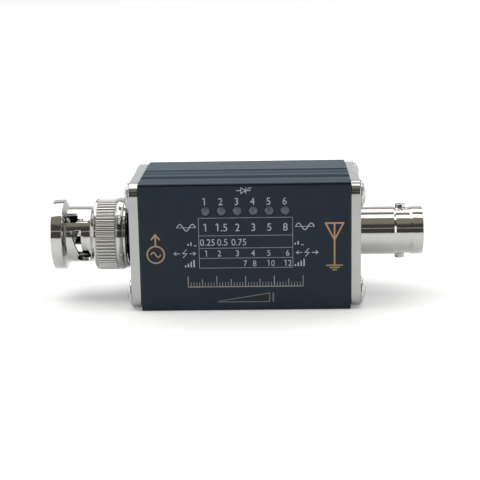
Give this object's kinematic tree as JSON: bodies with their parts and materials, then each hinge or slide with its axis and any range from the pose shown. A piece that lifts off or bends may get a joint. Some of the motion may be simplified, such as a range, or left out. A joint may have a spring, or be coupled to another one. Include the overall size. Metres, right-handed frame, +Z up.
{
  "type": "inline swr meter",
  "caption": "Small inline SWR and power meter in a ribbed metal box, with a bayonet plug at one end, a bayonet jack at the other and a row of indicator lamps.",
  "frame": {"origin": "centre of the case's length and depth, on the flat face it rests on", "axes": "+X from the plug to the jack, -Y out of the labelled front, +Z up"},
  "size_m": [0.0737, 0.027, 0.0252],
  "materials": {
    "case_anodised": "satin dark blue-black anodised",
    "label_film": "satin printed film",
    "bright_plate": "polished bright nickel",
    "screw_steel": "bright zinc",
    "connector_nickel": "polished nickel",
    "steel_spring": "bare spring steel",
    "contact_gold": "gold-plated",
    "insulator_white": "PTFE",
    "gasket_silicone": "soft",
    "circuit_board": "solder mask",
    "lamp_lens": "frosted",
    "chip_black": "moulded",
    "chip_tan": "fired",
    "diode_glass": "glass bodied",
    "ferrite": "matte",
    "copper_wire": "enamelled copper",
    "header_plastic": "moulded",
    "socket_steel": "plated",
    "switch_metal": "plated",
    "switch_black": "moulded",
    "cell_pouch": "foil pouch",
    "lead_red": "insulated wire"
  },
  "bodies": {
    "case": {"front_shell": "case_anodised", "rear_shell": "case_anodised", "front_label": "label_film", "left_end_plate": "bright_plate", "right_end_plate": "bright_plate", "left_plate_screws": "screw_steel", "right_plate_screws": "screw_steel", "plug_body": "connector_nickel", "plug_wave_spring": "steel_spring", "plug_gasket": "gasket_silicone", "plug_insulator": "insulator_white", "plug_centre_pin": "contact_gold", "plug_lock_washer": "steel_spring", "plug_panel_nut": "connector_nickel", "jack_body": "connector_nickel", "jack_insulator": "insulator_white", "jack_centre_contact": "contact_gold", "jack_lock_washer": "steel_spring", "jack_panel_nut": "connector_nickel", "main_board": "circuit_board", "led_1": "lamp_lens", "led_2": "lamp_lens", "led_3": "lamp_lens", "led_4": "lamp_lens", "led_5": "lamp_lens", "led_6": "lamp_lens", "microcontroller": "chip_black", "operational_amplifier": "chip_black", "detector_diodes": "diode_glass", "chip_resistors": "chip_black", "chip_capacitors": "chip_tan", "through_line_conductor": "copper_wire", "through_line_sleeve": "insulator_white", "current_core": "ferrite", "current_winding": "copper_wire", "voltage_core": "ferrite", "voltage_winding": "copper_wire", "power_board": "circuit_board", "board_header": "header_plastic", "board_header_pins": "contact_gold", "usb_socket_shell": "socket_steel", "usb_socket_tongue": "header_plastic", "charge_chip": "chip_black", "mode_switch_body": "switch_metal", "battery_cell": "cell_pouch", "battery_leads": "lead_red"},
    "thrust_washer": {"plug_thrust_washer": "steel_spring"},
    "coupling_nut": {"plug_coupling_nut": "connector_nickel", "plug_retaining_ring": "steel_spring"},
    "mode_switch": {"mode_switch_slider": "switch_black"}
  },
  "joints": [
    {"name": "coupling_nut_pull", "type": "slide", "parent": "case", "child": "thrust_washer", "axis": [-1, 0, 0], "range_m": [0, 0.0006], "stiffness_N_per_m": 3000, "springref_m": -0.0004, "deforming": ["plug_wave_spring"]},
    {"name": "coupling_nut_turn", "type": "hinge", "parent": "thrust_washer", "child": "coupling_nut", "pos_m": [-0.03075, 0, 0.0127], "axis": [1, 0, 0], "continuous": true},
    {"name": "mode_switch_slide", "type": "slide", "parent": "case", "child": "mode_switch", "axis": [1, 0, 0], "range_m": [0, 0.004]}
  ]
}
